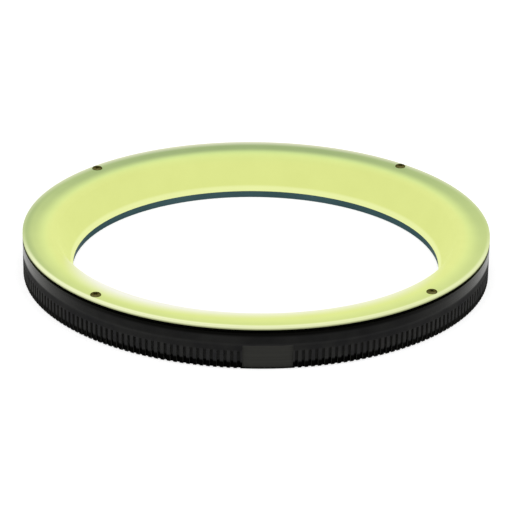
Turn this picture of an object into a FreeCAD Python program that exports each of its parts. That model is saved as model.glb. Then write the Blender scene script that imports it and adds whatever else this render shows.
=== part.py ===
"""A 250 mm ring light for machine vision, with its light-emitting side up.

The origin is on the ring's axis at the back face, which the light is bolted down by. +Z runs along
the axis towards the light, the label land faces -Y and the cable gland leaves the wall at +Y.
Lengths are in millimetres and angles in degrees.
"""

import FreeCAD, Part
import os
import re

import Sketcher

Vector = FreeCAD.Vector

# Driving sizes, by piece. Radial sizes are measured in the section through the ring's axis.
SIZES = {
    # housing
    "outer_diameter": 250,
    "overall_height": 23.5,
    "wall_thickness": 8,
    "floor_thickness": 3,
    "base_chamfer": 0.5,
    "rim_screw_azimuth": 45,
    "rim_hole_depth": 7,
    # cooling grooves in the lower wall, and the smooth land with its label recess
    "fin_height": 9.75,
    "fin_groove_depth": 1.4,
    "fin_groove_width": 1.72,
    "fin_groove_count": 220,
    "label_land_width": 27.2,
    "label_border": 0.9,
    "label_recess_depth": 0.6,
    "label_recess_height": 11.3,
    "label_runout_height": 1.8,
    # holes in the back for whoever bolts the light down
    "mount_hole_inset": 5,
    "mount_hole_radius": 1.65,
    "mount_hole_depth": 8,
    "mount_hole_count": 4,
    "drill_point_height": 0.9,
    # diffuser and the foam ring under its flange
    "diffuser_thickness": 2,
    "light_angle": 65,
    "shoulder_radius": 4,
    "tip_height": 3.9,
    "gasket_thickness": 1.8,
    "gasket_recess": 1.6,
    "gasket_inner_step": 0.4,
    # screws through the flange, M3 with a low head
    "rim_screw_count": 4,
    "rim_screw_shank_radius": 1.5,
    "rim_screw_length": 8,
    "rim_screw_head_radius": 2.8,
    "rim_screw_head_height": 0.9,
    "rim_screw_crown_radius": 1.7,
    "rim_screw_brow_radius": 2.5,
    "rim_screw_brow_height": 0.7,
    "rim_screw_edge_height": 0.35,
    "rim_screw_clearance": 0.2,
    "gasket_hole_clearance": 0.5,
    # inner ring
    "tip_overhang": 0.5,
    "inner_wall_thickness": 2.6,
    "foot_thickness": 2,
    "inner_foot_width": 5.6,
    "diffuser_seat_clearance": 0.15,
    "floor_fit_clearance": 0.1,
    "foot_gap": 0.3,
    # countersunk screws from the back, M2.5
    "back_screw_count": 8,
    "back_screw_shank_radius": 1.25,
    "back_screw_length": 5,
    "back_screw_head_radius": 2.35,
    "back_screw_head_height": 1.4,
    "back_screw_clearance": 0.2,
    "inner_screw_azimuth": 22.5,
    # threads are plain cylinders, the tapped hole this much wider than the screw
    "thread_clearance": 0.03,
    # cross recess in a screw head
    "recess_width": 0.6,
    "recess_span": 2.6,
    "recess_depth": 0.9,
    # LED boards and what carries them
    "led_air_gap": 5.5,
    "led_board_thickness": 0.6,
    "led_board_width": 9.8,
    "led_board_count": 4,
    "led_board_gap_angle": 0.4,
    "led_board_foot_clearance": 0.2,
    "tape_thickness": 0.3,
    "bond_gap": 0.05,
    "carrier_leg_thickness": 1.2,
    "carrier_wall_clearance": 0.2,
    "wiring_channel_width": 3.5,
    # LED packages, two rows
    "led_count_per_row": 72,
    "led_width": 3.5,
    "led_length": 2.8,
    "led_height": 1.4,
    "led_row_inset": 2.6,
    "led_row_spacing": 4.6,
    "led_window_side": 2.2,
    "led_window_height": 0.15,
    "solder_gap": 0.02,
    # chips and links on the LED boards
    "resistor_count": 24,
    "resistor_length": 3.2,
    "resistor_width": 1.6,
    "resistor_height": 0.55,
    "jumper_length": 3,
    "jumper_width": 0.8,
    "jumper_thickness": 0.3,
    "jumper_edge_inset": 0.6,
    # white film on the floor of the light chamber
    "film_thickness": 0.25,
    "film_edge_clearance": 0.4,
    # window in the carrier's leg for the gland and its wires
    "wire_window_width": 16,
    # supply board in the wiring channel, beside the gland
    "terminal_azimuth": 108,
    "terminal_board_angle": 24,
    "terminal_board_thickness": 1,
    "terminal_board_clearance": 0.25,
    "terminal_spacer_height": 0.8,
    "terminal_spacer_radius": 1.7,
    "terminal_screw_count": 2,
    "terminal_screw_spread": 21,
    "terminal_screw_shank_radius": 1,
    "terminal_screw_length": 3,
    "terminal_screw_head_radius": 1.8,
    "terminal_screw_head_height": 1.2,
    "terminal_block_azimuth": 102.5,
    "terminal_block_width": 7,
    "terminal_block_height": 3,
    "terminal_block_depth": 3.2,
    "terminal_block_slot": 1.2,
    "terminal_slot_margin": 0.7,
    "diode_azimuth": 106.2,
    "diode_width": 2.6,
    "diode_height": 2.1,
    "diode_depth": 3,
    "capacitor_azimuth": 108.3,
    "capacitor_spread": 1.7,
    "capacitor_count": 2,
    "capacitor_width": 2.5,
    "capacitor_height": 1.8,
    "capacitor_depth": 3,
    # leads from the supply board to the LED boards
    "lead_radius": 0.55,
    "lead_leg_clearance": 0.15,
    "lead_end_length": 0.3,
    "lead_pad_inset": 1,
    "positive_lead_azimuth": 111.25,
    "negative_lead_azimuth": 116.25,
    # cable gland, M8, for a 5 mm cable
    "gland_azimuth": 90,
    "gland_seat_depth": 3.2,
    "gland_seat_radius": 6.4,
    "gland_thread_radius": 4,
    "gland_hole_clearance": 0.1,
    "gland_bore_radius": 2.6,
    "gland_across_flats": 10,
    "gland_foot_clearance": 0.5,
    "gland_shank_overhang": 0.3,
    "gland_nut_thickness": 2.5,
    "gland_nut_wall_gap": 0.2,
    "gland_washer_radius": 5.6,
    "gland_washer_thickness": 0.8,
    "gland_collar_length": 3.5,
    "gland_collar_recess": 0.5,
    "gland_neck_radius": 4.3,
    "gland_neck_length": 5.4,
    "gland_cap_gap": 0.5,
    "gland_cap_length": 10,
    "gland_cap_clearance": 0.05,
    "gland_window_margin": 0.3,
    "gland_cap_nose_height": 2,
    "gland_seal_radius": 3.6,
    "gland_seal_depth": 3.5,
    "gland_seal_flange": 1.5,
}

# Places and sizes that follow from the driving ones.
PLACES = {
    "outer_radius": "outer_diameter / 2",
    "base_radius": "outer_radius - base_chamfer",
    "wall_radius": "outer_radius - wall_thickness",
    "groove_floor_radius": "outer_radius - fin_groove_depth",
    "flange_bottom": "overall_height - diffuser_thickness",
    "rim_top": "flange_bottom - gasket_thickness",
    "rim_screw_circle": "outer_radius - wall_thickness / 2",
    "mount_circle": "outer_radius - mount_hole_inset",
    "first_groove_angle": "asin((label_land_width + fin_groove_width) / 2 / outer_radius) / 1 deg",
    "label_floor_radius": "outer_radius - label_recess_depth",
    "label_half_width": "label_land_width / 2 - label_border",
    "label_angle": "2 * asin(label_half_width / outer_radius) / 1 deg",
    # the visible cone, from its tip to where it would meet the flange if nothing were rounded. It
    # stands in from the wall as far as the boards, their carrier and the wiring channel need
    "cone_rise": "sin(light_angle)",
    "cone_run": "cos(light_angle)",
    "leg_top_radius": "wall_radius - wiring_channel_width",
    "tip_radius": "leg_top_radius - board_end * cone_run - leg_back * cone_rise",
    "corner_radius": "tip_radius + (overall_height - tip_height) / tan(light_angle)",
    "back_corner_radius": "corner_radius + diffuser_thickness * tan(light_angle / 2)",
    "tip_back_radius": "tip_radius + diffuser_thickness / cone_rise",
    "shoulder_back_radius": "shoulder_radius - diffuser_thickness",
    "gasket_inner_radius": "wall_radius + gasket_inner_step",
    "gasket_outer_radius": "outer_radius - gasket_recess",
    # inner ring
    "inner_wall_radius": "tip_radius + tip_overhang",
    "inner_wall_back": "inner_wall_radius + inner_wall_thickness",
    "floor_bore_radius": "inner_wall_back + floor_fit_clearance",
    "foot_top": "floor_thickness + foot_thickness",
    "inner_foot_radius": "inner_wall_back + inner_foot_width",
    "seat_radius": "tip_back_radius + diffuser_seat_clearance / cone_rise",
    "seat_top_radius": "seat_radius + (foot_top - tip_height) / tan(light_angle)",
    "inner_screw_circle": "(inner_wall_back + inner_foot_radius) / 2",
    # depths behind the visible cone, square to it
    "board_front": "diffuser_thickness + led_air_gap",
    "board_back": "board_front + led_board_thickness",
    "tape_front": "board_back + bond_gap",
    "tape_back": "tape_front + tape_thickness",
    "leg_front": "tape_back + bond_gap",
    "leg_back": "leg_front + carrier_leg_thickness",
    "led_base": "board_front - solder_gap",
    "led_front": "led_base - led_height",
    "led_window_front": "led_front - led_window_height",
    "resistor_front": "led_base - resistor_height",
    "jumper_front": "led_base - jumper_thickness",
    # distances up the slope from the tip
    "board_start_height": "foot_top + led_board_foot_clearance - tip_height",
    "board_start": "(board_start_height + leg_front * cone_run) / cone_rise",
    "board_end": "board_start + led_board_width",
    "lower_row": "board_start + led_row_inset",
    "upper_row": "lower_row + led_row_spacing",
    "resistor_row": "(lower_row + upper_row) / 2",
    "lower_jumper": "board_start + jumper_edge_inset",
    "upper_jumper": "board_end - jumper_edge_inset",
    "led_pitch": "360 / led_count_per_row",
    # carrier
    "carrier_start_radius": "inner_foot_radius + foot_gap",
    "carrier_end_radius": "wall_radius - carrier_wall_clearance",
    "leg_foot_rise": "(foot_top - tip_height) / tan(light_angle)",
    "leg_front_foot_radius": "tip_radius + leg_foot_rise + leg_front / cone_rise",
    "leg_back_foot_radius": "tip_radius + leg_foot_rise + leg_back / cone_rise",
    "carrier_screw_circle": "(carrier_start_radius + carrier_end_radius) / 2",
    "film_start_radius": "seat_top_radius + film_edge_clearance",
    "board_foot_radius": "tip_radius + board_start * cone_run + board_front * cone_rise",
    "film_end_radius": "board_foot_radius - film_edge_clearance",
    # supply board
    "terminal_bottom": "foot_top + terminal_spacer_height",
    "terminal_top": "terminal_bottom + terminal_board_thickness",
    "leg_terminal_rise": "(terminal_top - tip_height) / tan(light_angle)",
    "leg_terminal_radius": "tip_radius + leg_terminal_rise + leg_back / cone_rise",
    "terminal_start_radius": "leg_terminal_radius + terminal_board_clearance",
    "terminal_end_radius": "wall_radius - 2 * carrier_wall_clearance",
    "terminal_screw_circle": "(terminal_start_radius + terminal_end_radius) / 2",
    "terminal_first_screw": "terminal_azimuth - terminal_screw_spread / 2",
    "terminal_part_end": "terminal_end_radius - terminal_board_clearance",
    # leads: up the channel, over the boards' top edge and back onto a pad at a right angle
    "lead_run_radius": "leg_top_radius + lead_radius + lead_leg_clearance",
    "lead_pad": "board_end - lead_pad_inset",
    "lead_pad_radius": "tip_radius + lead_pad * cone_run + led_base * cone_rise",
    "lead_pad_height": "tip_height + lead_pad * cone_rise - led_base * cone_run",
    "lead_end_radius": "lead_pad_radius - lead_end_length * cone_rise",
    "lead_end_height": "lead_pad_height + lead_end_length * cone_run",
    "lead_bend_radius": "(lead_run_radius - lead_end_radius) / (1 + cone_run)",
    "lead_bend_centre": "lead_run_radius - lead_bend_radius",
    "lead_bend_height": "lead_end_height + lead_bend_radius * cone_rise",
    "lead_bend_angle": "180 + light_angle",
    # gland, just above the carrier's foot, by distance from the ring's axis
    "gland_axis_height": "foot_top + gland_half_flats + gland_foot_clearance",
    "gland_seat": "outer_radius - gland_seat_depth",
    "gland_nut_end": "wall_radius - gland_nut_wall_gap",
    "gland_nut_start": "gland_nut_end - gland_nut_thickness",
    "gland_start": "gland_nut_start - gland_shank_overhang",
    "gland_washer_end": "gland_seat + gland_washer_thickness",
    "gland_collar_end": "gland_washer_end + gland_collar_length",
    "gland_neck_end": "gland_collar_end + gland_neck_length",
    "gland_cap_start": "gland_collar_end + gland_cap_gap",
    "gland_cap_end": "gland_cap_start + gland_cap_length",
    "gland_cap_bore": "gland_neck_radius + gland_cap_clearance",
    "gland_pocket_start": "gland_neck_end - gland_seal_depth",
    "gland_pocket_radius": "gland_seal_radius + gland_cap_clearance",
    "gland_flange_end": "gland_neck_end + gland_seal_flange",
    "gland_half_flats": "gland_across_flats / 2",
    "gland_corner_radius": "gland_across_flats / sqrt(3)",
    "gland_window_top": "gland_axis_height + gland_half_flats + gland_window_margin",
}

doc = FreeCAD.newDocument("ring_light")

sheet = doc.addObject("Spreadsheet::Sheet", "sizes")
for row, (name, size) in enumerate(SIZES.items(), start=1):
    sheet.set(f"A{row}", name.replace("_", " "))
    sheet.set(f"B{row}", str(size))
    sheet.setAlias(f"B{row}", name)
doc.recompute()


def bound(text):
    """The expression with each size and place named by the object that holds it."""

    def owner(match):
        word = match.group()
        if word in SIZES:
            return f"sizes.{word}"
        if word in PLACES:
            return f"places.{word}"
        return word

    return re.sub(r"[a-z_]+", owner, str(text))


places = doc.addObject("App::VarSet", "places")
for name in PLACES:
    places.addProperty("App::PropertyFloat", name, "Places")
for name, text in PLACES.items():
    places.setExpression(name, bound(text))
doc.recompute()


def number(text):
    """The present value of an expression."""
    return float(sheet.evalExpression(bound(text)))


def new_body(label):
    """An empty body that may hold several separate solids."""
    body = doc.addObject("PartDesign::Body", label)
    body.Label = label
    body.AllowCompound = True
    return body


def origin_part(body, role):
    """The body's own origin plane or axis with that role."""
    return next(part for part in body.Origin.OriginFeatures if part.Role == role)


def finish_feature(body, feature, adds):
    """Makes the feature the body's tip and checks that it added or removed material."""
    body.Tip = feature
    doc.recompute()
    before = feature.BaseFeature.Shape.Volume if feature.BaseFeature else 0
    change = body.Shape.Volume - before
    if (adds and change <= 0) or (not adds and change >= 0):
        raise RuntimeError(f"{body.Label}: {feature.Name} changed the volume by {change:.3f}")
    return feature


def section_sketch(body, azimuth):
    """A sketch in the half plane at an azimuth: across is the distance from the ring's axis."""
    sketch = body.newObject("Sketcher::SketchObject", f"{body.Label}_section")
    sketch.AttachmentSupport = (origin_part(body, "XZ_Plane"), [""])
    sketch.MapMode = "FlatFace"
    # a rotation by nothing would lose its axis, so azimuth 0 starts as a whole turn
    turn = FreeCAD.Rotation(Vector(0, 1, 0), number(azimuth) or 360)
    sketch.AttachmentOffset = FreeCAD.Placement(Vector(), turn)
    sketch.setExpression("AttachmentOffset.Rotation.Angle", bound(azimuth))
    return sketch


def level_sketch(body, azimuth, height):
    """A sketch at a height, turned so that across is outward at an azimuth."""
    sketch = body.newObject("Sketcher::SketchObject", f"{body.Label}_level")
    sketch.AttachmentSupport = (origin_part(body, "XY_Plane"), [""])
    sketch.MapMode = "FlatFace"
    turn = FreeCAD.Rotation(Vector(0, 0, 1), number(azimuth))
    sketch.AttachmentOffset = FreeCAD.Placement(Vector(0, 0, number(height)), turn)
    sketch.setExpression("AttachmentOffset.Rotation.Angle", bound(azimuth))
    sketch.setExpression("AttachmentOffset.Base.z", bound(height))
    return sketch


def place_point(sketch, geometry, point, across, up):
    """Dimensions a point of the sketch from its origin."""
    for kind, text in (("DistanceX", across), ("DistanceY", up)):
        limit = Sketcher.Constraint(kind, -1, 1, geometry, point, number(text))
        index = sketch.addConstraint(limit)
        sketch.setExpression(f"Constraints[{index}]", bound(text))


def draw_outline(sketch, corners):
    """A closed outline of straight lines through corners given as (across, up)."""
    points = [Vector(number(across), number(up), 0) for across, up in corners]
    count = len(points)
    for index in range(count):
        line = Part.LineSegment(points[index], points[(index + 1) % count])
        sketch.addGeometry(line, False)
    for index in range(count):
        joint = Sketcher.Constraint("Coincident", index, 2, (index + 1) % count, 1)
        sketch.addConstraint(joint)
    for index, (across, up) in enumerate(corners):
        place_point(sketch, index, 1, across, up)


def draw_axis(sketch, start, end):
    """A construction line to turn a profile about."""
    points = [Vector(number(across), number(up), 0) for across, up in (start, end)]
    axis = sketch.addGeometry(Part.LineSegment(*points), True)
    place_point(sketch, axis, 1, *start)
    place_point(sketch, axis, 2, *end)


def draw_circle(sketch, across, up, radius):
    """A circle with a dimensioned centre and radius."""
    centre = Vector(number(across), number(up), 0)
    circle = sketch.addGeometry(Part.Circle(centre, Vector(0, 0, 1), number(radius)), False)
    place_point(sketch, circle, 3, across, up)
    index = sketch.addConstraint(Sketcher.Constraint("Radius", circle, number(radius)))
    sketch.setExpression(f"Constraints[{index}]", bound(radius))


def turned(body, corners, azimuth="0", axis=None, angle="360", adds=True):
    """A profile turned about the ring's axis, or about an axis of its own."""
    sketch = section_sketch(body, azimuth)
    draw_outline(sketch, corners)
    if axis:
        draw_axis(sketch, *axis)
    kind = "PartDesign::Revolution" if adds else "PartDesign::Groove"
    feature = body.newObject(kind, f"{body.Label}_turned")
    feature.Profile = (sketch, [""])
    feature.ReferenceAxis = (sketch, ["Axis0" if axis else "V_Axis"])
    feature.Midplane = True
    feature.setExpression("Angle", bound(angle))
    return finish_feature(body, feature, adds)


def slab(body, corners, width, azimuth="0", adds=True):
    """A profile in the half plane at an azimuth, thickened evenly to both sides."""
    sketch = section_sketch(body, azimuth)
    draw_outline(sketch, corners)
    kind = "PartDesign::Pad" if adds else "PartDesign::Pocket"
    feature = body.newObject(kind, f"{body.Label}_slab")
    feature.Profile = (sketch, [""])
    feature.SideType = "Symmetric"
    feature.setExpression("Length", bound(width))
    return finish_feature(body, feature, adds)


def repeated(body, features, count, span="360", adds=True):
    """The features repeated about the ring's axis, evenly over the span."""
    pattern = body.newObject("PartDesign::PolarPattern", f"{body.Label}_pattern")
    pattern.Originals = features
    pattern.Axis = (origin_part(body, "Z_Axis"), [""])
    pattern.Refine = False
    pattern.setExpression("Angle", bound(span))
    pattern.setExpression("Occurrences", bound(count))
    return finish_feature(body, pattern, adds)


def box_corners(start, end, bottom, top):
    """The corners of a rectangle in a section."""
    return [(start, bottom), (end, bottom), (end, top), (start, top)]


def on_slope(along, behind):
    """The corner that lies a distance up the visible cone from its tip, and behind it."""
    across = f"tip_radius + ({along}) * cone_run + ({behind}) * cone_rise"
    up = f"tip_height + ({along}) * cone_rise - ({behind}) * cone_run"
    return across, up


def slope_corners(start, end, front, back):
    """The corners of a rectangle that lies along the cone."""
    return [on_slope(start, front), on_slope(end, front), on_slope(end, back), on_slope(start, back)]


def stepped_profile(circle, seat, side, steps):
    """A profile about the upright axis at a circle's radius.

    Each step is a radius and a height from the seat. side is 1 where heights count up, else -1.
    """
    corners = [(f"{circle} + {radius}", f"{seat} + {side} * ({height})") for radius, height in steps]
    profile = [(circle, corners[0][1]), *corners]
    if steps[-1][0] != "0":
        profile.append((circle, corners[-1][1]))
    return profile


def upright_axis(circle, seat):
    """The ends of the upright axis at a circle's radius."""
    return (circle, seat), (circle, f"{seat} + overall_height")


def hole_row(body, circle, seat, side, steps, azimuth, count, span="360"):
    """Holes of one stepped profile, evenly round a circle or over a span of it."""
    profile = stepped_profile(circle, seat, side, steps)
    hole = turned(body, profile, azimuth, upright_axis(circle, seat), adds=False)
    repeated(body, [hole], count, span, adds=False)


def screw_row(label, circle, seat, side, steps, azimuth, count, span="360"):
    """Equal screws with crossed recesses in their heads, evenly round a circle."""
    body = new_body(label)
    profile = stepped_profile(circle, seat, side, steps)
    top = profile[0][1]
    screw = turned(body, profile, azimuth, upright_axis(circle, seat))
    features = [screw]
    for reach, width in (("recess_span", "recess_width"), ("recess_width", "recess_span")):
        start = f"{circle} - {reach} / 2"
        end = f"{circle} + {reach} / 2"
        floor = f"{top} - {side} * recess_depth"
        features.append(slab(body, box_corners(start, end, floor, top), width, azimuth, adds=False))
    repeated(body, features, count, span)
    return body


def round_edge(body, circle_radius, height, radius):
    """Rounds the circular edge with that radius and height."""
    base = body.Tip
    names = [
        f"Edge{index}"
        for index, edge in enumerate(base.Shape.Edges, start=1)
        if isinstance(edge.Curve, Part.Circle)
        and abs(edge.Curve.Radius - number(circle_radius)) < 1e-3
        and abs(edge.Curve.Center.z - number(height)) < 1e-3
    ]
    fillet = body.newObject("PartDesign::Fillet", f"{body.Label}_rounding")
    fillet.Base = (base, names)
    fillet.setExpression("Radius", bound(radius))
    body.Tip = fillet
    doc.recompute()


def hexagon(body, start, length):
    """A hexagonal bar on the gland's axis, flats up and down."""
    sketch = body.newObject("Sketcher::SketchObject", f"{body.Label}_hexagon")
    sketch.AttachmentSupport = (origin_part(body, "XZ_Plane"), [""])
    sketch.MapMode = "FlatFace"
    sketch.setExpression("AttachmentOffset.Base.z", bound(f"-({start})"))
    middle = "gland_axis_height"
    across = "gland_corner_radius"
    corners = [
        (across, middle),
        (f"{across} / 2", f"{middle} + gland_half_flats"),
        (f"-{across} / 2", f"{middle} + gland_half_flats"),
        (f"-{across}", middle),
        (f"-{across} / 2", f"{middle} - gland_half_flats"),
        (f"{across} / 2", f"{middle} - gland_half_flats"),
    ]
    draw_outline(sketch, corners)
    bar = body.newObject("PartDesign::Pad", f"{body.Label}_bar")
    bar.Profile = (sketch, [""])
    bar.Reversed = True
    bar.setExpression("Length", bound(length))
    return finish_feature(body, bar, adds=True)


def gland_turned(body, steps, adds=True):
    """A profile about the gland's axis. Each step is a distance from the ring's axis and a radius."""
    corners = [(distance, f"gland_axis_height + {radius}") for distance, radius in steps]
    first = (corners[0][0], "gland_axis_height")
    last = (corners[-1][0], "gland_axis_height")
    axis = (first, last)
    return turned(body, [first, *corners, last], "gland_azimuth", axis, adds=adds)


def drill_gland(body, start, end):
    """The straight cable bore through a piece of the gland."""
    steps = [(f"{start} - 1", "gland_bore_radius"), (f"{end} + 1", "gland_bore_radius")]
    return gland_turned(body, steps, adds=False)


def make_housing():
    """The turned ring: thick wall, thin floor, grooves for cooling round the lower wall."""
    body = new_body("housing")
    section = [
        ("floor_bore_radius", "0"),
        ("base_radius", "0"),
        ("outer_radius", "base_chamfer"),
        ("outer_radius", "rim_top"),
        ("wall_radius", "rim_top"),
        ("wall_radius", "floor_thickness"),
        ("floor_bore_radius", "floor_thickness"),
    ]
    turned(body, section)

    # tapped holes, from the rim for the diffuser's screws and from the back for mounting
    tapped = "rim_screw_shank_radius + thread_clearance"
    steps = [
        (tapped, "1"),
        (tapped, "-rim_hole_depth"),
        ("0", "-rim_hole_depth - drill_point_height"),
    ]
    hole_row(body, "rim_screw_circle", "rim_top", "1", steps, "rim_screw_azimuth", "rim_screw_count")
    steps = [
        ("mount_hole_radius", "1"),
        ("mount_hole_radius", "-mount_hole_depth"),
        ("0", "-mount_hole_depth - drill_point_height"),
    ]
    hole_row(body, "mount_circle", "0", "-1", steps, "rim_screw_azimuth", "mount_hole_count")

    # countersunk holes through the floor, one circle under each foot
    clear = "back_screw_shank_radius + back_screw_clearance"
    steps = [
        ("back_screw_head_radius + 1", "1"),
        ("back_screw_head_radius", "0"),
        (clear, "-back_screw_head_height"),
        (clear, "-floor_thickness - 1"),
    ]
    hole_row(body, "inner_screw_circle", "0", "-1", steps, "inner_screw_azimuth", "back_screw_count")
    hole_row(body, "carrier_screw_circle", "0", "-1", steps, "0", "back_screw_count")

    # seat and hole for the cable gland
    seat = [("gland_seat", "gland_seat_radius"), ("outer_radius + 1", "gland_seat_radius")]
    gland_turned(body, seat, adds=False)
    bore = "gland_thread_radius + gland_hole_clearance"
    gland_turned(body, [("wall_radius - 1", bore), ("outer_radius", bore)], adds=False)

    # shallow label recess with a border below and beside it, that runs out in a slope at its top
    recess = [
        ("label_floor_radius", "label_border"),
        ("outer_radius + 1", "label_border"),
        ("outer_radius + 1", "label_recess_height + label_runout_height"),
        ("outer_radius", "label_recess_height + label_runout_height"),
        ("label_floor_radius", "label_recess_height"),
    ]
    turned(body, recess, "-90", angle="label_angle", adds=False)

    groove = slab(
        body,
        box_corners("groove_floor_radius", "outer_radius + 1", "-1", "fin_height"),
        "fin_groove_width",
        "first_groove_angle - 90",
        adds=False,
    )
    repeated(body, [groove], "fin_groove_count", "360 - 2 * first_groove_angle", adds=False)
    return body


def make_diffuser():
    """Opal sheet formed into a flat flange, a rounded shoulder and a steep inward cone."""
    body = new_body("diffuser")
    section = [
        ("tip_radius", "tip_height"),
        ("tip_back_radius", "tip_height"),
        ("back_corner_radius", "flange_bottom"),
        ("outer_radius", "flange_bottom"),
        ("outer_radius", "overall_height"),
        ("corner_radius", "overall_height"),
    ]
    turned(body, section)
    round_edge(body, "back_corner_radius", "flange_bottom", "shoulder_back_radius")
    round_edge(body, "corner_radius", "overall_height", "shoulder_radius")
    clear = "rim_screw_shank_radius + rim_screw_clearance"
    steps = [(clear, "1"), (clear, "-diffuser_thickness - 1")]
    azimuth = "rim_screw_azimuth"
    hole_row(body, "rim_screw_circle", "overall_height", "1", steps, azimuth, "rim_screw_count")
    return body


def make_gasket():
    """The black foam ring that seals the flange to the rim, set back to leave a dark joint."""
    body = new_body("diffuser_gasket")
    turned(body, box_corners("gasket_inner_radius", "gasket_outer_radius", "rim_top", "flange_bottom"))
    clear = "rim_screw_shank_radius + gasket_hole_clearance"
    steps = [(clear, "1"), (clear, "-gasket_thickness - 1")]
    azimuth = "rim_screw_azimuth"
    hole_row(body, "rim_screw_circle", "flange_bottom", "1", steps, azimuth, "rim_screw_count")
    return body


def make_rim_screws():
    """Low head screws with a slightly domed edge, through the flange into the wall."""
    steps = [
        ("rim_screw_crown_radius", "rim_screw_head_height"),
        ("rim_screw_brow_radius", "rim_screw_brow_height"),
        ("rim_screw_head_radius", "rim_screw_edge_height"),
        ("rim_screw_head_radius", "0"),
        ("rim_screw_shank_radius", "0"),
        ("rim_screw_shank_radius", "-rim_screw_length + rim_screw_shank_radius / 3"),
        ("rim_screw_shank_radius * 2 / 3", "-rim_screw_length"),
    ]
    azimuth = "rim_screw_azimuth"
    circle = "rim_screw_circle"
    count = "rim_screw_count"
    return screw_row("diffuser_screws", circle, "overall_height", "1", steps, azimuth, count)


def make_back_screws(label, circle, azimuth):
    """Countersunk screws up through the floor into the foot of a ring, flush with the back."""
    steps = [
        ("back_screw_head_radius", "0"),
        ("back_screw_shank_radius", "-back_screw_head_height"),
        ("back_screw_shank_radius", "-back_screw_length + back_screw_shank_radius / 3"),
        ("back_screw_shank_radius * 2 / 3", "-back_screw_length"),
    ]
    return screw_row(label, circle, "0", "-1", steps, azimuth, "back_screw_count")


def make_inner_ring():
    """The slate inner wall: a ledge carries the diffuser's tip, a foot lies on the floor."""
    body = new_body("inner_ring")
    section = [
        ("inner_wall_radius", "0"),
        ("inner_wall_back", "0"),
        ("inner_wall_back", "floor_thickness"),
        ("inner_foot_radius", "floor_thickness"),
        ("inner_foot_radius", "foot_top"),
        ("seat_top_radius", "foot_top"),
        ("seat_radius", "tip_height"),
        ("inner_wall_radius", "tip_height"),
    ]
    turned(body, section)
    tap_foot(body, "inner_screw_circle", "inner_screw_azimuth")
    return body


def tap_foot(body, circle, azimuth):
    """Tapped holes through a foot, over the countersunk holes of the floor."""
    tapped = "back_screw_shank_radius + thread_clearance"
    steps = [(tapped, "1"), (tapped, "-foot_thickness - 1")]
    hole_row(body, circle, "floor_thickness", "-1", steps, azimuth, "back_screw_count")


def make_led_carrier():
    """A foot on the floor and a sloping leg that the LED boards are taped to."""
    body = new_body("led_carrier")
    section = [
        ("carrier_start_radius", "floor_thickness"),
        ("carrier_end_radius", "floor_thickness"),
        ("carrier_end_radius", "foot_top"),
        ("leg_back_foot_radius", "foot_top"),
        on_slope("board_end", "leg_back"),
        on_slope("board_end", "leg_front"),
        ("leg_front_foot_radius", "foot_top"),
        ("carrier_start_radius", "foot_top"),
    ]
    turned(body, section)
    tap_foot(body, "carrier_screw_circle", "0")

    # window through the leg for the gland's inner end and the wires that leave it
    window = box_corners("carrier_start_radius", "wall_radius", "foot_top", "gland_window_top")
    slab(body, window, "wire_window_width", "gland_azimuth", adds=False)

    # tapped holes for the supply board's screws
    tapped = "terminal_screw_shank_radius + thread_clearance"
    steps = [(tapped, "1"), (tapped, "-foot_thickness - 1")]
    hole_row(body, "terminal_screw_circle", "foot_top", "1", steps,
             "terminal_first_screw", "terminal_screw_count", "terminal_screw_spread")
    return body


def make_thermal_tape():
    """Heat conducting tape between the carrier's leg and the boards."""
    body = new_body("thermal_tape")
    turned(body, slope_corners("board_start", "board_end", "tape_front", "tape_back"))
    return body


def make_led_boards():
    """Equal board segments round the slope, with a small gap between neighbours."""
    body = new_body("led_boards")
    segment = turned(
        body,
        slope_corners("board_start", "board_end", "board_front", "board_back"),
        angle="360 / led_board_count - led_board_gap_angle",
    )
    repeated(body, [segment], "led_board_count")
    return body


def board_part(label, rows, front, back, length, width):
    """Equal blocks on the LED boards. Each row is a place up the slope, an azimuth and a count."""
    body = new_body(label)
    for place, azimuth, count in rows:
        start = f"{place} - ({length}) / 2"
        end = f"{place} + ({length}) / 2"
        block = slab(body, slope_corners(start, end, front, back), width, azimuth)
        repeated(body, [block], count)
    return body


def make_leds():
    """Two rows of packages, the upper row half a step round from the lower one."""
    rows = [
        ("lower_row", "led_pitch / 4", "led_count_per_row"),
        ("upper_row", "led_pitch * 3 / 4", "led_count_per_row"),
    ]
    packages = board_part("leds", rows, "led_front", "led_base", "led_length", "led_width")
    side = "led_window_side"
    windows = board_part("led_windows", rows, "led_window_front", "led_front", side, side)
    return [packages, windows]


def make_board_resistors():
    """Current limiting chips between the two rows."""
    rows = [("resistor_row", "0", "resistor_count")]
    return board_part("board_resistors", rows, "resistor_front", "led_base",
                      "resistor_width", "resistor_length")


def make_board_jumpers():
    """Two links across each gap between neighbouring boards."""
    seam = "180 / led_board_count"
    rows = [(place, seam, "led_board_count") for place in ("lower_jumper", "upper_jumper")]
    return board_part("board_jumpers", rows, "jumper_front", "led_base",
                      "jumper_width", "jumper_length")


def make_floor_reflector():
    """White film on the feet, at the bottom of the light chamber."""
    body = new_body("floor_reflector")
    top = "foot_top + film_thickness"
    turned(body, box_corners("film_start_radius", "film_end_radius", "foot_top", top))
    return body


def make_terminal_board():
    """A narrow curved board in the wiring channel, on two spacers."""
    body = new_body("terminal_board")
    outline = box_corners("terminal_start_radius", "terminal_end_radius", "terminal_bottom", "terminal_top")
    turned(body, outline, "terminal_azimuth", angle="terminal_board_angle")
    clear = "terminal_screw_shank_radius + 2 * thread_clearance"
    steps = [(clear, "1"), (clear, "-terminal_board_thickness - 1")]
    hole_row(body, "terminal_screw_circle", "terminal_top", "1", steps,
             "terminal_first_screw", "terminal_screw_count", "terminal_screw_spread")
    return body


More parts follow.
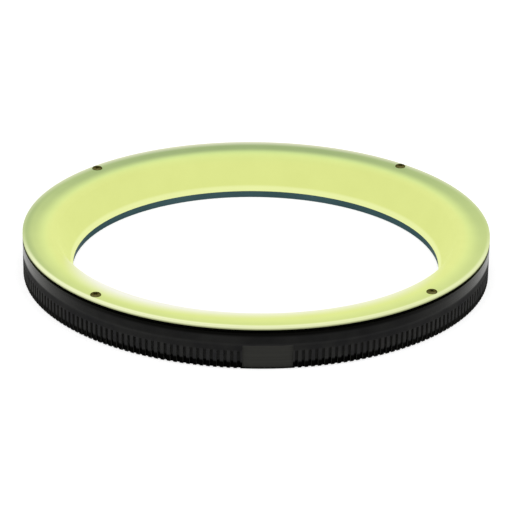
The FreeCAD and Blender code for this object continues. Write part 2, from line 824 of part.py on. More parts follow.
def make_terminal_fasteners():
    """The spacers under the supply board and the screws through it."""
    spacers = new_body("terminal_spacers")
    bore = "terminal_screw_shank_radius + 2 * thread_clearance"
    start = f"terminal_screw_circle + {bore}"
    end = "terminal_screw_circle + terminal_spacer_radius"
    axis = upright_axis("terminal_screw_circle", "foot_top")
    ring = box_corners(start, end, "foot_top", "terminal_bottom")
    spacer = turned(spacers, ring, "terminal_first_screw", axis)
    repeated(spacers, [spacer], "terminal_screw_count", "terminal_screw_spread")
    steps = [
        ("terminal_screw_head_radius", "terminal_screw_head_height"),
        ("terminal_screw_head_radius", "0"),
        ("terminal_screw_shank_radius", "0"),
        ("terminal_screw_shank_radius", "-terminal_screw_length"),
    ]
    screws = screw_row("terminal_screws", "terminal_screw_circle", "terminal_top", "1", steps,
                       "terminal_first_screw", "terminal_screw_count", "terminal_screw_spread")
    return [spacers, screws]


def channel_part(label, azimuth, depth, width, height, count=None, span=None):
    """A block on the supply board, against its outer edge."""
    body = new_body(label)
    outline = box_corners(
        f"terminal_part_end - {depth}", "terminal_part_end", "terminal_top", f"terminal_top + {height}"
    )
    block = slab(body, outline, width, azimuth)
    if count:
        repeated(body, [block], count, span)
    return body


def make_terminal_parts():
    """The connector, diode and capacitors on the supply board."""
    connector = channel_part("terminal_block", "terminal_block_azimuth", "terminal_block_depth",
                             "terminal_block_width", "terminal_block_height")
    slot = box_corners(
        "terminal_part_end - terminal_block_depth / 2 - terminal_block_slot / 2",
        "terminal_part_end - terminal_block_depth / 2 + terminal_block_slot / 2",
        "terminal_top + terminal_block_height / 2",
        "terminal_top + terminal_block_height",
    )
    slot_width = "terminal_block_width - 2 * terminal_slot_margin"
    slab(connector, slot, slot_width, "terminal_block_azimuth", adds=False)
    diode = channel_part("protection_diode", "diode_azimuth", "diode_depth", "diode_width",
                         "diode_height")
    capacitors = channel_part("board_capacitors", "capacitor_azimuth", "capacitor_depth",
                              "capacitor_width", "capacitor_height", "capacitor_count",
                              "capacitor_spread")
    return [connector, diode, capacitors]


def make_lead(label, azimuth):
    """A lead: straight up the wiring channel, round over the boards' edge, square onto a pad."""
    body = new_body(label)
    path = section_sketch(body, azimuth)
    start = Vector(number("lead_run_radius"), number("terminal_top"), 0)
    centre = Vector(number("lead_bend_centre"), number("lead_bend_height"), 0)
    bend_start = Vector(start.x, centre.y, 0)
    bend_end = Vector(number("lead_end_radius"), number("lead_end_height"), 0)
    pad = Vector(number("lead_pad_radius"), number("lead_pad_height"), 0)
    turn = FreeCAD.Units.Quantity(number("lead_bend_angle"), "deg").getValueAs("rad").Value
    circle = Part.Circle(centre, Vector(0, 0, 1), number("lead_bend_radius"))
    path.addGeometry(Part.LineSegment(start, bend_start), False)
    path.addGeometry(Part.ArcOfCircle(circle, 0, turn), False)
    path.addGeometry(Part.LineSegment(bend_end, pad), False)
    path.addConstraint(Sketcher.Constraint("Coincident", 0, 2, 1, 1))
    path.addConstraint(Sketcher.Constraint("Coincident", 1, 2, 2, 1))
    place_point(path, 0, 1, "lead_run_radius", "terminal_top")
    place_point(path, 1, 1, "lead_run_radius", "lead_bend_height")
    place_point(path, 2, 1, "lead_end_radius", "lead_end_height")
    place_point(path, 2, 2, "lead_pad_radius", "lead_pad_height")
    radius = path.addConstraint(Sketcher.Constraint("Radius", 1, number("lead_bend_radius")))
    path.setExpression(f"Constraints[{radius}]", bound("lead_bend_radius"))
    profile = level_sketch(body, azimuth, "terminal_top")
    draw_circle(profile, "lead_run_radius", "0", "lead_radius")
    doc.recompute()
    pipe = body.newObject("PartDesign::AdditivePipe", f"{label}_pipe")
    pipe.Profile = (profile, [""])
    pipe.Spine = (path, ["Edge1", "Edge2", "Edge3"])
    finish_feature(body, pipe, adds=True)
    return body


def make_gland():
    """A cable gland: body through the wall, washer, nut inside, rubber seal and cap outside."""
    stem = new_body("gland_body")
    hexagon(stem, "gland_washer_end", "gland_collar_length")
    steps = [
        ("gland_start", "gland_thread_radius"),
        ("gland_washer_end + gland_collar_recess", "gland_thread_radius"),
        ("gland_washer_end + gland_collar_recess", "gland_neck_radius"),
        ("gland_neck_end", "gland_neck_radius"),
    ]
    gland_turned(stem, steps)
    drill_gland(stem, "gland_start", "gland_neck_end")
    pocket = [
        ("gland_pocket_start", "gland_pocket_radius"),
        ("gland_neck_end + 1", "gland_pocket_radius"),
    ]
    gland_turned(stem, pocket, adds=False)

    washer = new_body("gland_washer")
    ring = [("gland_seat", "gland_washer_radius"), ("gland_washer_end", "gland_washer_radius")]
    gland_turned(washer, ring)
    bore = "gland_thread_radius + gland_hole_clearance"
    gland_turned(washer, [("gland_seat - 1", bore), ("gland_washer_end + 1", bore)], adds=False)

    nut = new_body("gland_locknut")
    hexagon(nut, "gland_nut_start", "gland_nut_thickness")
    thread = "gland_thread_radius + thread_clearance"
    steps = [("gland_nut_start - 1", thread), ("gland_nut_end + 1", thread)]
    gland_turned(nut, steps, adds=False)

    seal = new_body("gland_seal")
    steps = [
        ("gland_pocket_start", "gland_seal_radius"),
        ("gland_neck_end", "gland_seal_radius"),
        ("gland_neck_end", "gland_neck_radius"),
        ("gland_flange_end", "gland_neck_radius"),
    ]
    gland_turned(seal, steps)
    drill_gland(seal, "gland_pocket_start", "gland_flange_end")

    cap = new_body("gland_cap")
    hexagon(cap, "gland_cap_start", "gland_cap_length - gland_cap_nose_height")
    nose = [
        ("gland_cap_end - gland_cap_nose_height", "gland_half_flats"),
        ("gland_cap_end - gland_cap_nose_height / 2", "gland_half_flats"),
        ("gland_cap_end", "gland_half_flats - gland_cap_nose_height / 2"),
    ]
    gland_turned(cap, nose)
    hollow = [("gland_cap_start - 1", "gland_cap_bore"), ("gland_flange_end", "gland_cap_bore")]
    gland_turned(cap, hollow, adds=False)
    drill_gland(cap, "gland_cap_start", "gland_cap_end")
    return [stem, washer, nut, seal, cap]


def export(bodies):
    """Checks every object and writes one file for each piece."""
    for item in doc.Objects:
        if "Invalid" in item.State or "Error" in item.State:
            raise RuntimeError(f"{item.Label} failed: {item.State}")
    os.makedirs("parts", exist_ok=True)
    for body in bodies:
        shape = body.Shape
        if shape.isNull() or not shape.isValid() or not shape.Solids:
            raise RuntimeError(f"{body.Label} has no valid solid")
        shape.exportStep(f"parts/{body.Label}.step")
        print(f"{body.Label}: {len(shape.Solids)} solids, {shape.Volume:.1f} mm3")


export(
    [
        make_housing(),
        make_diffuser(),
        make_gasket(),
        make_rim_screws(),
        make_inner_ring(),
        make_back_screws("inner_ring_screws", "inner_screw_circle", "inner_screw_azimuth"),
        make_led_carrier(),
        make_back_screws("carrier_screws", "carrier_screw_circle", "0"),
        make_thermal_tape(),
        make_led_boards(),
        *make_leds(),
        make_board_resistors(),
        make_board_jumpers(),
        make_floor_reflector(),
        make_terminal_board(),
        *make_terminal_fasteners(),
        *make_terminal_parts(),
        make_lead("positive_lead", "positive_lead_azimuth"),
        make_lead("negative_lead", "negative_lead_azimuth"),
        *make_gland(),
    ]
)
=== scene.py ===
"""The ring light dressed for the camera: materials on every piece, a white floor, soft light."""

import math

import bpy
from mathutils import Matrix, Vector

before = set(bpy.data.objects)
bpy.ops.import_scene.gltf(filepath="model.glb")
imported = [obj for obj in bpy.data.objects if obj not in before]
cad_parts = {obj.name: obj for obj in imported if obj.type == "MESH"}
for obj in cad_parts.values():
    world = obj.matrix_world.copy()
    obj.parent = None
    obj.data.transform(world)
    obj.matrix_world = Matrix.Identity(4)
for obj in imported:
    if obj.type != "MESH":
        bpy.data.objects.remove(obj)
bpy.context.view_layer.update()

# Camera: it stands 1.5 m off with a long lens and looks down at the front of the ring, so the
# ring shows almost no perspective. The label land is a little to the right of the middle.
outer_radius = 0.125
ring_top = 0.0235
turned_left = math.radians(-3.0)
looking_down = math.radians(23.77)
tilted = math.radians(0.74)
camera_distance = 12.04 * outer_radius
lens_length = 197.34
sensor_width = 36
aim_right = -0.0003 * outer_radius
aim_up = 0.1234 * outer_radius

back = Vector((
    math.sin(turned_left) * math.cos(looking_down),
    -math.cos(turned_left) * math.cos(looking_down),
    math.sin(looking_down),
))
right = Vector((math.cos(turned_left), math.sin(turned_left), 0))
up = back.cross(right)
eye = Vector((0, 0, ring_top)) + back * camera_distance - right * aim_right - up * aim_up
camera_right = right * math.cos(tilted) + up * math.sin(tilted)
camera_up = up * math.cos(tilted) - right * math.sin(tilted)

camera_data = bpy.data.cameras.new("camera")
camera_data.lens = lens_length
camera_data.sensor_width = sensor_width
camera_data.clip_end = 50
camera = bpy.data.objects.new("camera", camera_data)
bpy.context.scene.collection.objects.link(camera)
axes = Matrix((camera_right, camera_up, back)).transposed()
camera.matrix_world = Matrix.Translation(eye) @ axes.to_4x4()
bpy.context.scene.camera = camera


# Housing: one turned aluminium ring, milled with cooling grooves, then dyed black in the anodising
# bath. The oxide is a thin clear layer over dark metal, satin with turning lines at the top and
# duller below. Painted shade darkens it under the rim and at the foot, and painted light makes
# the groove floors lighter.
def linear(colour):
    """An sRGB hex colour as linear light with full alpha."""
    channels = [int(colour[start : start + 2], 16) / 255 for start in (1, 3, 5)]
    light = [c / 12.92 if c <= 0.04045 else ((c + 0.055) / 1.055) ** 2.4 for c in channels]
    return (*light, 1)


def add(tree, kind, inputs=(), **settings):
    """Adds a node. inputs gives each socket a value, or the output that feeds it."""
    node = tree.nodes.new(kind)
    for name, value in settings.items():
        setattr(node, name, value)
    for socket, value in dict(inputs).items():
        if isinstance(value, bpy.types.NodeSocket):
            tree.links.new(value, node.inputs[socket])
        else:
            node.inputs[socket].default_value = value
    return node


def socket_of(shader, word):
    """The shader's input that a lower case word names."""
    return shader.inputs[word.replace("_", " ").title().replace("Ior", "IOR")]


def new_finish(name, **constants):
    """A material, its node tree and its shader, with constants set on the shader's sockets."""
    material = bpy.data.materials.new(name)
    material.use_nodes = True
    shader = material.node_tree.nodes["Principled BSDF"]
    for word, value in constants.items():
        socket_of(shader, word).default_value = value
    return material, material.node_tree, shader


def feed(tree, shader, **outputs):
    """Links outputs to the shader's sockets of those names."""
    for word, output in outputs.items():
        tree.links.new(output, socket_of(shader, word))


def put_on(material, *names):
    """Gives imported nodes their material."""
    for name in names:
        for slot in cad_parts[name].material_slots:
            slot.material = material


def ring_places(tree):
    """Radius and height in millimetres and the angle round the ring in radians."""
    place = add(tree, "ShaderNodeTexCoord").outputs["Object"]
    axis = add(tree, "ShaderNodeSeparateXYZ", {0: place})
    flat = add(tree, "ShaderNodeCombineXYZ", {0: axis.outputs["X"], 1: axis.outputs["Y"]})
    length = add(tree, "ShaderNodeVectorMath", {0: flat.outputs[0]}, operation="LENGTH")
    in_mm = {0: length.outputs["Value"], 1: 1000.0}
    radius = add(tree, "ShaderNodeMath", in_mm, operation="MULTIPLY")
    in_mm = {0: axis.outputs["Z"], 1: 1000.0}
    height = add(tree, "ShaderNodeMath", in_mm, operation="MULTIPLY")
    turn = {0: axis.outputs["Y"], 1: axis.outputs["X"]}
    angle = add(tree, "ShaderNodeMath", turn, operation="ARCTAN2")
    return radius.outputs[0], height.outputs[0], angle.outputs[0]


def turning_lines(tree, pitch, low, high):
    """Lathe marks: noise that changes each pitch mm across the section, slowly round the ring.
    Gives a roughness that follows them between two values, and a bump four micrometres deep."""
    radius, height, angle = ring_places(tree)
    place = add(tree, "ShaderNodeCombineXYZ", {0: radius, 1: height, 2: angle})
    squeeze = {0: place.outputs[0], 1: (1 / pitch, 1 / pitch, 2.0)}
    scaled = add(tree, "ShaderNodeVectorMath", squeeze, operation="MULTIPLY")
    detail = {"Vector": scaled.outputs[0], "Scale": 1.0, "Detail": 2.0}
    marks = add(tree, "ShaderNodeTexNoise", detail).outputs[0]
    reach = {"Value": marks, "From Min": 0.3, "From Max": 0.7, "To Min": low, "To Max": high}
    rough = add(tree, "ShaderNodeMapRange", reach)
    bump = add(tree, "ShaderNodeBump", {"Strength": 1.0, "Distance": 0.000004, "Height": marks})
    return rough.outputs[0], bump.outputs[0]


def mottle(tree, size, low, high):
    """Soft noise whose patches are size mm across, and two colours mixed by it."""
    place = add(tree, "ShaderNodeTexCoord").outputs["Object"]
    detail = {"Vector": place, "Scale": 1000 / size, "Detail": 3.0}
    noise = add(tree, "ShaderNodeTexNoise", detail).outputs[0]
    spread = add(tree, "ShaderNodeMapRange", {"Value": noise, "From Min": 0.35, "From Max": 0.65})
    colours = {"Factor": spread.outputs[0], 6: linear(low), 7: linear(high)}
    mix = add(tree, "ShaderNodeMix", colours, data_type="RGBA")
    return noise, mix.outputs[2]


def zone(tree, *edges, most=1.0):
    """The share of a soft edged zone. Each edge is a value, where it starts to rise from 0 and
    where it is full. The edges multiply, up to the most that the zone takes."""
    share = most
    for value, start, full in edges:
        rise = {"Value": value, "From Min": start, "From Max": full, "To Max": share}
        share = add(tree, "ShaderNodeMapRange", rise, interpolation_type="SMOOTHSTEP").outputs[0]
    return share


def shaded(tree, below, colour, *edges, most=1.0):
    """A colour laid over another one in a zone."""
    colours = {"Factor": zone(tree, *edges, most=most), 6: below, 7: linear(colour)}
    return add(tree, "ShaderNodeMix", colours, data_type="RGBA").outputs[2]


# the tool's feed was near 0.1 mm a turn, drawn at 0.35 mm so that it shows
turning_pitch = 0.35
# how much duller the lower wall is than the top
added_roughness = 0.63
anodised, tree, shader = new_finish(
    "black_anodised_aluminium", metallic=1.0, specular_tint=linear("#F4F4F2")
)
radius, height, _ = ring_places(tree)
fine, bump = turning_lines(tree, turning_pitch, low=0.2, high=0.3)

# edges in mm: where a shade starts and where it is full
dull_wall = (height, 14.3, 12.0)
above_fins = (height, 9.6, 10.2)
painted_shade_under_rim = (height, 17.0, 18.7)
painted_shade_at_foot = (height, 4.3, 3.1)
outer_wall = (radius, 122.4, 123.4)
label_floor = (radius, 124.9, 124.8)
painted_groove_floor = (radius, 124.3, 123.7)

lower = zone(tree, dull_wall)
_, top_shade = mottle(tree, 14, "#1C1C1C", "#252524")
_, low_shade = mottle(tree, 9, "#303031", "#393938")
wall = {"Factor": lower, 6: top_shade, 7: low_shade}
shade = add(tree, "ShaderNodeMix", wall, data_type="RGBA").outputs[2]
shade = shaded(tree, shade, "#101010", above_fins, most=0.35)
# painted shade under the rim
shade = shaded(tree, shade, "#0A0A09", painted_shade_under_rim)
# painted shade at the foot of the outer wall
shade = shaded(tree, shade, "#070706", painted_shade_at_foot, outer_wall)
shade = shaded(tree, shade, "#40403D", label_floor)
# painted light on the groove floors
shade = shaded(tree, shade, "#383837", painted_groove_floor)
# painted shade in the grooves at the foot
shade = shaded(tree, shade, "#070706", painted_shade_at_foot, outer_wall, painted_groove_floor)
coarser = {0: lower, 1: added_roughness, 2: fine}
rough = add(tree, "ShaderNodeMath", coarser, operation="MULTIPLY_ADD").outputs[0]
feed(tree, shader, base_color=shade, roughness=rough, normal=bump)
put_on(anodised, "housing")

# Inner ring: a thin turned aluminium ring that carries the diffuser's tip, dyed slate blue. Its
# wall is the narrow dark line round the opening.
slate, tree, shader = new_finish(
    "slate_anodised_aluminium", metallic=1.0, specular_tint=linear("#C4CDCF")
)
rough, bump = turning_lines(tree, turning_pitch, low=0.32, high=0.45)
_, shade = mottle(tree, 25, "#344A4E", "#3B5257")
feed(tree, shader, base_color=shade, roughness=rough, normal=bump)
put_on(slate, "inner_ring")


# Screws: black oxide steel, semi gloss under a little oil. In the glowing flange the low heads are
# painted brownish, a painted reflection of the glow; the countersunk ones in the back stay neutral.
def grained(tree, shader, size, dark, light, depth=0.0, roughness=()):
    """Feeds a colour mottled in patches size mm across. With a depth in metres the patches stand up
    by that, and with two values of roughness the light ones are the rougher."""
    patches, shade = mottle(tree, size, dark, light)
    feed(tree, shader, base_color=shade)
    if depth:
        bump = add(tree, "ShaderNodeBump", {"Strength": 1.0, "Distance": depth, "Height": patches})
        feed(tree, shader, normal=bump.outputs[0])
    if roughness:
        low, high = roughness
        reach = {"Value": patches, "From Min": 0.3, "From Max": 0.7, "To Min": low, "To Max": high}
        feed(tree, shader, roughness=add(tree, "ShaderNodeMapRange", reach).outputs[0])


# ten micrometres
fine_grain = 0.00001
for finish, dark, light, nodes in (
    # the diffuser's screws: painted brown reflection of the flange's glow
    ("oxide_steel_painted_glow", "#555130", "#6A663E", ["diffuser_screws"]),
    ("black_oxide_steel", "#1C1C1C", "#2A2A29", ["inner_ring_screws", "carrier_screws"]),
):
    oxide, tree, shader = new_finish(finish, metallic=1.0, specular_tint=linear("#6A6852"))
    grained(tree, shader, 1.5, dark, light, depth=fine_grain, roughness=(0.3, 0.5))
    put_on(oxide, *nodes)

# Carrier: a turned aluminium ring with a sloping leg, screwed to the housing's floor. It is clear
# anodised, so pale satin metal with fine lines round it.
clear, tree, shader = new_finish("clear_anodised_aluminium", metallic=0.9)
rough, bump = turning_lines(tree, pitch=0.3, low=0.28, high=0.4)
_, shade = mottle(tree, 20, "#B9BBBD", "#C6C8CA")
feed(tree, shader, base_color=shade, roughness=rough, normal=bump)
put_on(clear, "led_carrier")

# Thermal tape: a soft grey acrylic tape filled with ceramic powder, pressed between the carrier's
# leg and the boards. It is matt, with fine specks.
tape, tree, shader = new_finish("grey_thermal_tape", roughness=0.8)
grained(tree, shader, 0.5, "#8E9196", "#A3A6AA")
put_on(tape, "thermal_tape")


# LED boards: flexible boards with a glossy white solder mask, taped to the slope. Copper tracks
# under the mask stand up by their own thickness and show a shade darker.
def tracks(tree, shader, across, pitch, edge, mask, copper):
    """Feeds tracks each pitch mm under a mask: a sine wave cut to flat tops from an edge up."""
    turns = {0: across, 1: 2 * math.pi / pitch}
    wave = add(tree, "ShaderNodeMath", turns, operation="MULTIPLY").outputs[0]
    ripple = add(tree, "ShaderNodeMath", {0: wave}, operation="SINE").outputs[0]
    rise = {"Value": ripple, "From Min": edge, "From Max": edge + 0.3}
    track = add(tree, "ShaderNodeMapRange", rise).outputs[0]
    colours = {"Factor": track, 6: linear(mask), 7: linear(copper)}
    mix = add(tree, "ShaderNodeMix", colours, data_type="RGBA")
    bump = add(tree, "ShaderNodeBump", {"Strength": 1.0, "Distance": 0.000035, "Height": track})
    feed(tree, shader, base_color=mix.outputs[2], normal=bump.outputs[0])


mask, tree, shader = new_finish("white_solder_mask", roughness=0.25)
_, height, _ = ring_places(tree)
tracks(tree, shader, height, pitch=2.4, edge=0.2, mask="#F1F3F1", copper="#E3E8E2")
put_on(mask, "led_boards")

# LED packages: cups moulded in white plastic, soldered to the boards in two staggered rows. They
# are matt, with a fine grain.
package, tree, shader = new_finish("white_moulded_package", roughness=0.55)
grained(tree, shader, 0.6, "#E9E8DE", "#F1F0E8", depth=fine_grain)
put_on(package, "leds")

# LED windows: silicone resin with yellow-green phosphor in it, poured into the cups. It glows when
# the light is on.
resin, tree, shader = new_finish("phosphor_resin", roughness=0.2, emission_strength=0.9)
_, shade = mottle(tree, 0.4, "#E3EC6E", "#EEF58E")
feed(tree, shader, base_color=shade, emission_color=shade)
put_on(resin, "led_windows")

# Chip resistors: ceramic chips with a black glaze, set in a ring between the rows of LEDs. Their
# two ends are tinned for half a millimetre.
chip_count = 24
chip_half_body = 1.1
glaze, tree, shader = new_finish("glazed_chip", roughness=0.35)
radius, _, angle = ring_places(tree)
one_chip = {0: angle, 1: math.pi / chip_count, 2: -math.pi / chip_count}
turns = add(tree, "ShaderNodeMath", one_chip, operation="WRAP").outputs[0]
along = add(tree, "ShaderNodeMath", {0: turns, 1: radius}, operation="MULTIPLY").outputs[0]
away = add(tree, "ShaderNodeMath", {0: along}, operation="ABSOLUTE").outputs[0]
past_body = {0: away, 1: chip_half_body}
tinned = add(tree, "ShaderNodeMath", past_body, operation="GREATER_THAN").outputs[0]
colours = {"Factor": tinned, 6: linear("#1B1B1D"), 7: linear("#C9C8C2")}
mix = add(tree, "ShaderNodeMix", colours, data_type="RGBA")
feed(tree, shader, base_color=mix.outputs[2], metallic=tinned)
put_on(glaze, "board_resistors")

# Links over the gaps between boards: strips of tinned copper, soldered at both ends. They are
# bright, with faint drawing marks.
tin, tree, shader = new_finish("tinned_copper", metallic=1.0)
grained(tree, shader, 0.4, "#C4C1B8", "#D6D4CC", roughness=(0.2, 0.35))
put_on(tin, "board_jumpers")

# Reflector film: white polyester laid on the feet, between the inner ring and the carrier. It is
# matt, with fine pores that scatter the light.
film, tree, shader = new_finish("white_polyester_film", roughness=0.6)
grained(tree, shader, 0.8, "#F0F0EE", "#F8F8F6")
put_on(film, "floor_reflector")

# Supply board: glass epoxy with a green solder mask, screwed down near the gland. Tracks run along
# it under the mask.
green, tree, shader = new_finish("green_solder_mask", roughness=0.28)
radius, _, _ = ring_places(tree)
tracks(tree, shader, radius, pitch=1.6, edge=0.1, mask="#0F4A26", copper="#1C6B3A")
put_on(green, "terminal_board")

# Spacers under the supply board: turned from brass rod, so bright, with a slight change of tone
# from the lathe.
brass, tree, shader = new_finish("turned_brass", metallic=1.0)
grained(tree, shader, 0.5, "#C59F4F", "#D3B066", roughness=(0.22, 0.36))
put_on(brass, "terminal_spacers")

# Supply board screws: small steel screws through the board and its spacers. The zinc plating is
# pale and slightly blue.
zinc, tree, shader = new_finish("zinc_plated_steel", metallic=1.0)
grained(tree, shader, 0.6, "#B7BBC0", "#CACDD1", roughness=(0.25, 0.4))
put_on(zinc, "terminal_screws")

# Connector: a small housing moulded in natural nylon, soldered to the supply board. It is creamy
# and matt.
nylon, tree, shader = new_finish("natural_nylon", roughness=0.5)
grained(tree, shader, 1.0, "#DDD8C4", "#E7E3D2", depth=fine_grain)
put_on(nylon, "terminal_block")

# Diode: a chip moulded in black epoxy, which guards the LEDs against a reversed supply. It has the
# fine grain of its mould.
epoxy, tree, shader = new_finish("black_moulded_epoxy", roughness=0.5)
grained(tree, shader, 0.4, "#18181A", "#222225", depth=fine_grain)
put_on(epoxy, "protection_diode")

# Capacitors: fired ceramic chips that smooth the supply. They are tan, with a fine darker grain.
ceramic, tree, shader = new_finish("fired_ceramic", roughness=0.45)
grained(tree, shader, 0.3, "#9C7F5C", "#AE9270")
put_on(ceramic, "board_capacitors")

# Leads: stranded copper in PVC insulation, from the supply board to the LED boards. One is red and
# one blue, both smooth and waxy.
for node, dark, light in (
    ("positive_lead", "#A8130F", "#BC1D17"),
    ("negative_lead", "#152A86", "#1D379B"),
):
    insulation, tree, shader = new_finish(f"pvc_insulation_{node}", roughness=0.38)
    grained(tree, shader, 2.0, dark, light)
    put_on(insulation, node)

# Gasket: black closed cell foam between the diffuser's flange and the rim. Its cut cells, about
# 0.3 mm across, keep it dull and very dark.
cell_size = 0.3
cell_depth = 0.00005
foam, tree, shader = new_finish("black_cell_foam", roughness=1.0, ior=1.15)
place = add(tree, "ShaderNodeTexCoord").outputs["Object"]
cells = add(tree, "ShaderNodeTexVoronoi", {"Vector": place, "Scale": 1000 / cell_size}).outputs[0]
_, shade = mottle(tree, 3, "#030303", "#060605")
bump = add(tree, "ShaderNodeBump", {"Strength": 1.0, "Distance": cell_depth, "Height": cells})
feed(tree, shader, base_color=shade, normal=bump.outputs[0])
put_on(foam, "diffuser_gasket")


# Diffuser: 2 mm opal acrylic, formed hot over a tool, which glows an even yellow-green. Over the
# wall the flange glows dimmer, grey green, with painted shade that grows towards the back and at
# the left. Its cut edge and the cone's tip carry a painted pale highlight, the edge's side has
# painted shade by the foam, and the formed corner has a painted near white reflection at the
# front.
def ellipse(tree, middle, half):
    """1 on an ellipse round the middle, less inside it. Middle and half widths are in mm."""
    place = add(tree, "ShaderNodeTexCoord").outputs["Object"]
    offset = {0: place, 1: (middle[0] / 1000, middle[1] / 1000, 0)}
    centred = add(tree, "ShaderNodeVectorMath", offset, operation="SUBTRACT")
    squeeze = {0: centred.outputs[0], 1: (1000 / half[0], 1000 / half[1], 0)}
    scaled = add(tree, "ShaderNodeVectorMath", squeeze, operation="MULTIPLY")
    length = add(tree, "ShaderNodeVectorMath", {0: scaled.outputs[0]}, operation="LENGTH")
    return length.outputs["Value"]


opal, tree, shader = new_finish("opal_acrylic", roughness=0.75, ior=1.3, emission_strength=1.0)
radius, height, angle = ring_places(tree)
to_back = add(tree, "ShaderNodeMath", {0: angle}, operation="SINE").outputs[0]
to_right = add(tree, "ShaderNodeMath", {0: angle}, operation="COSINE").outputs[0]
reach = ellipse(tree, (0, -4.5), (100, 100))
white_reflection_reach = ellipse(tree, (-3.1, -40.9), (93.0, 69.7))

# edges: radius and height in mm, the others as shares, where a shade starts and where it is full
before_wall = (reach, 1.09, 1.15)
over_wall = (reach, 1.115, 1.205)
left_side = (to_right, -0.8, -1.0)
outer_band = (radius, 119.5, 123.0)
highlight_cut_edge = (radius, 122.8, 124.6)
highlight_rear_edge = (reach, 1.230, 1.300)
rear_half = (to_back, -0.2, 0.1)
painted_shade_by_foam = (height, 22.7, 21.6)
outer_side = (radius, 124.2, 124.9)
reflection_corner = (white_reflection_reach, 1.09, 0.90)
above_cone = (height, 17.0, 21.0)
highlight_cone_tip = (height, 7.6, 5.9)

# over the wall the dull shade, dimmer glow and painted shade: 0.2 of it at the front, 0.5 at the
# sides and all of it at the back
bend = add(tree, "ShaderNodeMath", {0: to_back, 1: 0.1, 2: 0.4}, operation="MULTIPLY_ADD")
bent = {0: bend.outputs[0], 1: to_back, 2: 0.5}
dim_glow_and_painted_shade = add(tree, "ShaderNodeMath", bent, operation="MULTIPLY_ADD").outputs[0]
faint_dim_and_painted_shade = add(tree, "ShaderNodeMath", {0: dim_glow_and_painted_shade, 1: 0.25}, operation="MULTIPLY").outputs[0]

# painted highlight on the cut edge: strongest at the front left, and a tenth of that from the sides
# to the back
brightest_highlight_angle = math.radians(-140)
turned = add(tree, "ShaderNodeMath", {0: angle, 1: brightest_highlight_angle}, operation="SUBTRACT").outputs[0]
near_brightest_highlight = add(tree, "ShaderNodeMath", {0: turned}, operation="COSINE").outputs[0]
round_it = {"Value": near_brightest_highlight, "From Min": 0.0, "To Min": 0.6, "To Max": 0.9}
edge_highlight_round = add(tree, "ShaderNodeMapRange", round_it).outputs[0]
from_side = {"Value": to_back, "From Min": 0.0, "From Max": -0.35, "To Min": 0.1, "To Max": 1.0}
in_front = add(tree, "ShaderNodeMapRange", from_side).outputs[0]
painted_edge_highlight = add(tree, "ShaderNodeMath", {0: edge_highlight_round, 1: in_front}, operation="MULTIPLY").outputs[0]

_, glow_and_painted_light = mottle(tree, 40, "#C3CB78", "#C5CD7A")
# painted shade over the wall, strongest at the back
glow_and_painted_light = shaded(tree, glow_and_painted_light, "#89D394", before_wall, most=faint_dim_and_painted_shade)
glow_and_painted_light = shaded(tree, glow_and_painted_light, "#688158", over_wall, most=dim_glow_and_painted_shade)
# painted shade at the left, up to the edge
glow_and_painted_light = shaded(tree, glow_and_painted_light, "#688158", left_side, outer_band, most=0.5)
# painted highlight on the cut edge
glow_and_painted_light = shaded(tree, glow_and_painted_light, "#DCE0BC", highlight_cut_edge, most=painted_edge_highlight)
# painted highlight on the rear of the cut edge
glow_and_painted_light = shaded(tree, glow_and_painted_light, "#E4DED4", highlight_rear_edge, rear_half, most=0.65)
# painted shade low on the edge's side, by the foam
glow_and_painted_light = shaded(tree, glow_and_painted_light, "#4A4D35", painted_shade_by_foam, outer_side, most=0.85)
# painted near white reflection on the formed corner at the front; more than 1, so that the corner
# is full before the ellipse's middle
glow_and_painted_light = shaded(tree, glow_and_painted_light, "#DDDBDC", reflection_corner, above_cone, most=1.4)
# painted highlight at the cone's tip
glow_and_painted_light = shaded(tree, glow_and_painted_light, "#D3DA97", highlight_cone_tip)

_, body_colour = mottle(tree, 12, "#757A4E", "#797E52")
feed(tree, shader, base_color=body_colour, emission_color=glow_and_painted_light)
put_on(opal, "diffuser")

# Gland: milled from hexagon bar in brass, nickel plated and screwed through the back of the wall.
# The plating is bright, with a faint warm tone.
nickel, tree, shader = new_finish("nickel_plated_brass", metallic=1.0)
milling_depth = 0.000004
grained(tree, shader, 1.2, "#B9B4A8", "#C9C5BB", depth=milling_depth, roughness=(0.18, 0.3))
put_on(nickel, "gland_body", "gland_locknut", "gland_cap")

# Gland washer and seal: black nitrile rubber, pressed by the gland's nut and cap. It is matt, with
# a fine moulded grain.
rubber, tree, shader = new_finish("black_nitrile_rubber", roughness=0.75)
grained(tree, shader, 0.5, "#0E0E0F", "#171718", depth=fine_grain)
put_on(rubber, "gland_washer", "gland_seal")

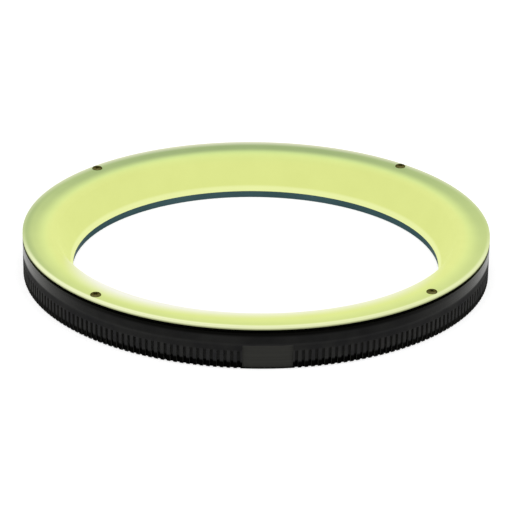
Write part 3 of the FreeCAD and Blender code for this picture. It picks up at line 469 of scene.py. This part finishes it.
# Floor: a wide white table, a hair under the housing. To the camera and in reflections it adds its
# own white, so it shows as white paper does, and keeps a pale shadow where the ring stands.
floor_half = 6.0
floor_height = -0.0002
floor_mesh = bpy.data.meshes.new("floor")
signs = ((-1, -1), (1, -1), (1, 1), (-1, 1))
corners = [(x * floor_half, y * floor_half, floor_height) for x, y in signs]
floor_mesh.from_pydata(corners, [], [(0, 1, 2, 3)])
floor = bpy.data.objects.new("floor", floor_mesh)
bpy.context.scene.collection.objects.link(floor)


def seen_directly(tree):
    """1 on camera, glossy and transmission rays, else 0."""
    path = add(tree, "ShaderNodeLightPath").outputs
    seen = add(tree, "ShaderNodeMath", {0: path["Is Camera Ray"], 1: path["Is Glossy Ray"]})
    through = {0: seen.outputs[0], 1: path["Is Transmission Ray"]}
    return add(tree, "ShaderNodeMath", through, use_clamp=True).outputs[0]


paper, tree, shader = new_finish(
    "white_table",
    roughness=0.9,
    base_color=linear("#BABABA"),
    emission_color=linear("#D6D6D6"),
)
feed(tree, shader, emission_strength=seen_directly(tree))
floor_mesh.materials.append(paper)

# Light: an even white room, a large soft lamp overhead and one at each side. The room lights the
# ring at about half the white that it shows.
room_light = 0.55
bpy.context.scene.view_settings.view_transform = "Standard"
room = bpy.data.worlds.new("white_room")
room.use_nodes = True
tree = room.node_tree
backdrop = tree.nodes["Background"]
brightness = {"Value": seen_directly(tree), "To Min": room_light, "To Max": 1.0}
level = add(tree, "ShaderNodeMapRange", brightness)
tree.links.new(level.outputs[0], backdrop.inputs["Strength"])
backdrop.inputs["Color"].default_value = linear("#FFFFFF")
bpy.context.scene.world = room

for name, place, size, power in (
    ("overhead_lamp", (0.0, -0.3, 1.6), 1.4, 9.0),
    ("left_lamp", (-1.5, -0.5, 0.7), 0.9, 6.0),
    ("right_lamp", (1.5, -0.5, 0.7), 0.9, 6.0),
):
    lamp_data = bpy.data.lights.new(name, "AREA")
    lamp_data.size = size
    lamp_data.energy = power
    lamp = bpy.data.objects.new(name, lamp_data)
    bpy.context.scene.collection.objects.link(lamp)
    lamp.location = place
    lamp.rotation_mode = "QUATERNION"
    lamp.rotation_quaternion = Vector(place).to_track_quat("Z", "Y")
